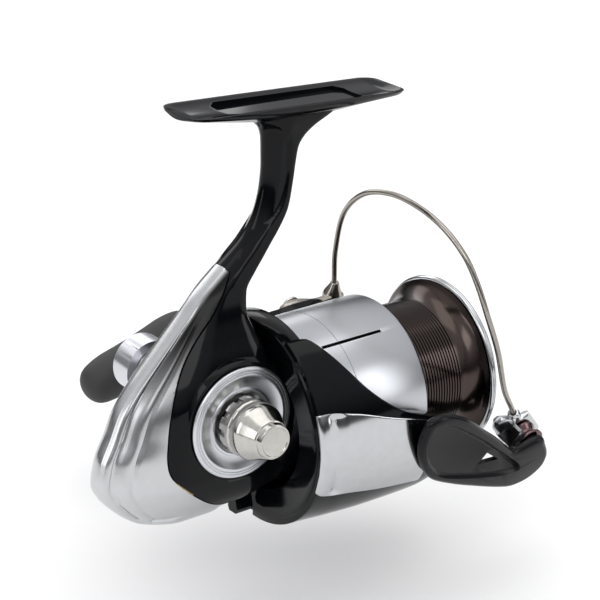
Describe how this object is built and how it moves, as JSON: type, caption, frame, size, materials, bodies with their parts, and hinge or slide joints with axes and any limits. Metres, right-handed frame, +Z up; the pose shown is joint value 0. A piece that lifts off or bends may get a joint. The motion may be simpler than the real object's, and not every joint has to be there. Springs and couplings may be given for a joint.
{
  "type": "spinning reel",
  "caption": "Spinning fishing reel with foot and stem, gearcase, geared crank handle, rotor with flip-over bail and line roller, sliding spool and drag knob.",
  "frame": {"origin": "centre of the pocket floor on top of the foot, where the foot is held in a rod's reel seat", "axes": "+X forward along the main shaft towards the spool, +Y towards the handle, +Z up out of the foot"},
  "size_m": [0.1251, 0.121, 0.1126],
  "materials": {
    "black_paint": "gloss black lacquer over light alloy",
    "chrome": "mirror polish",
    "satin_aluminium": "fine satin",
    "steel": "turned steel",
    "dark_alloy": "dark grey, half matt",
    "brown_alloy": "dark brown anodised, finely grooved",
    "brass": "machined",
    "bronze_coating": "bronze coating",
    "titanium": "warm grey titanium",
    "grip_rubber": "matt dark grey",
    "carbon": "carbon fibre"
  },
  "bodies": {
    "frame": {"body_frame": "black_paint", "rear_cover": "chrome", "cover_screw_1": "steel", "cover_screw_2": "steel", "side_plate": "satin_aluminium", "drive_bearing_near": "steel", "drive_bearing_far": "steel", "shaft_collar": "satin_aluminium", "pinion_bearing": "steel", "clutch_housing": "dark_alloy", "slider_guide": "steel", "gear_axle": "steel"},
    "reverse_lever": {"reverse_lever": "black_paint"},
    "handle": {"drive_gear": "brass", "oscillation_pinion": "brass", "screw_cap": "steel", "handle_shank": "satin_aluminium", "handle_arm": "satin_aluminium", "knob_pin": "steel"},
    "knob": {"knob_ferrule": "satin_aluminium", "knob_grip": "grip_rubber", "knob_bearing": "steel"},
    "oscillation": {"oscillation_gear": "brass"},
    "main_shaft": {"main_shaft": "steel", "slider_block": "brass", "key_washer": "steel", "click_wheel": "steel"},
    "rotor": {"rotor_casing": "black_paint", "arm_cover_near": "chrome", "arm_cover_far": "chrome", "pivot_pin_near": "steel", "pivot_screw_far": "steel", "pinion": "brass", "clutch_sleeve": "steel", "rotor_nut": "steel"},
    "bail": {"bail_lever": "dark_alloy", "roller_bracket": "chrome", "roller_pin": "steel", "bail_wire": "titanium", "bail_holder": "titanium"},
    "roller": {"line_roller": "bronze_coating"},
    "spool": {"spool_drum": "brown_alloy", "spool_skirt": "satin_aluminium", "spool_lip": "chrome", "drag_washer_rear": "carbon", "drag_washer_front": "carbon", "drag_retainer": "steel", "click_pawl": "steel"},
    "drag_knob": {"drag_knob": "satin_aluminium", "drag_knob_cap": "dark_alloy"}
  },
  "joints": [
    {"name": "rotor_spin", "type": "hinge", "parent": "frame", "child": "rotor", "pos_m": [0.0175, 0, -0.08001], "axis": [1, 0, 0], "continuous": true},
    {"name": "handle_turn", "type": "hinge", "parent": "frame", "child": "handle", "pos_m": [-0.0226, 0, -0.07361], "axis": [0, 1, 0], "continuous": true},
    {"name": "knob_spin", "type": "hinge", "parent": "handle", "child": "knob", "pos_m": [0.0055, 0, -0.09501], "axis": [0, 1, 0], "continuous": true},
    {"name": "oscillation_spin", "type": "hinge", "parent": "frame", "child": "oscillation", "pos_m": [-0.0325, 0, -0.08351], "axis": [0, 1, 0], "continuous": true},
    {"name": "shaft_slide", "type": "slide", "parent": "frame", "child": "main_shaft", "axis": [1, 0, 0], "range_m": [-0.0045, 0]},
    {"name": "spool_slip", "type": "hinge", "parent": "main_shaft", "child": "spool", "pos_m": [0.0175, 0, -0.08001], "axis": [1, 0, 0], "continuous": true},
    {"name": "drag_turn", "type": "hinge", "parent": "main_shaft", "child": "drag_knob", "pos_m": [0.0175, 0, -0.08001], "axis": [1, 0, 0], "range_deg": [-170, 170]},
    {"name": "bail_flip", "type": "hinge", "parent": "rotor", "child": "bail", "pos_m": [0.025, -0.00015, -0.07953], "axis": [0, 0.9511, 0.309], "range_deg": [0, 90]},
    {"name": "roller_spin", "type": "hinge", "parent": "bail", "child": "roller", "pos_m": [0.05996, -0.0241, -0.09645], "axis": [0, 0.9511, 0.309], "continuous": true},
    {"name": "reverse_lever_swing", "type": "hinge", "parent": "frame", "child": "reverse_lever", "pos_m": [-0.0145, 0, -0.09851], "axis": [1, 0, 0], "range_deg": [0, 24]}
  ],
  "couplings": [
    {"joint": "handle_turn", "follows": "rotor_spin", "ratio": -0.19149},
    {"joint": "oscillation_spin", "follows": "rotor_spin", "ratio": 0.11348}
  ]
}
